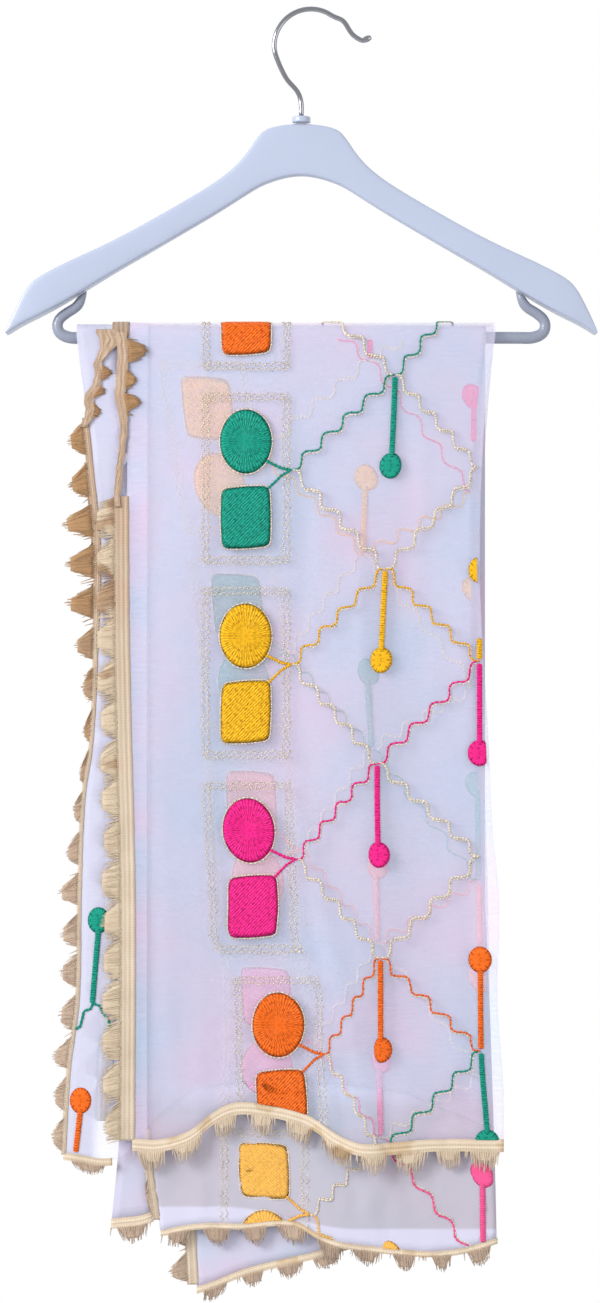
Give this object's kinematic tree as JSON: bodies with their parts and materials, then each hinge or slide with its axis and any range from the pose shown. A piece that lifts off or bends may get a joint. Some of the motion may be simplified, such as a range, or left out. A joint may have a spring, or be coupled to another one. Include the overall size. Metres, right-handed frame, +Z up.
{
  "type": "embroidered dupatta on a clothes hanger",
  "caption": "Long sheer dupatta with embroidered trellis and tufted gold lace, folded lengthwise and hung over the trouser bar of a plastic clothes hanger with a metal hook.",
  "frame": {"origin": "inside of the hook's top, where the hanger bears on a rail", "axes": "+Z up, -Y out of the front of the cloth, +X to the right seen from the front"},
  "size_m": [0.43, 0.0474, 0.9422],
  "materials": {
    "hook_chrome": "polished",
    "hanger_plastic": "satin",
    "bar_plastic": "satin",
    "chiffon": "sheer matte",
    "gold_lace": "soft sheen",
    "embroidery_thread": "silky"
  },
  "bodies": {
    "root": {"hanger_hook": "hook_chrome", "hanger_collar": "hanger_plastic", "hanger_body": "hanger_plastic", "hanger_bar": "bar_plastic", "near_cloth": "chiffon", "far_cloth_top": "chiffon", "far_cloth_middle": "chiffon", "far_cloth_under": "chiffon", "near_edge_lace": "gold_lace", "near_edge_lace_turned": "gold_lace", "near_edge_lace_back": "gold_lace", "under_edge_lace": "gold_lace", "under_edge_lace_back": "gold_lace", "near_hem_lace": "gold_lace", "under_hem_lace": "gold_lace", "far_hem_lace": "gold_lace", "far_middle_hem_lace": "gold_lace", "far_under_hem_lace": "gold_lace", "far_edge_lace": "gold_lace", "far_under_edge_lace": "gold_lace"}
  },
  "joints": []
}
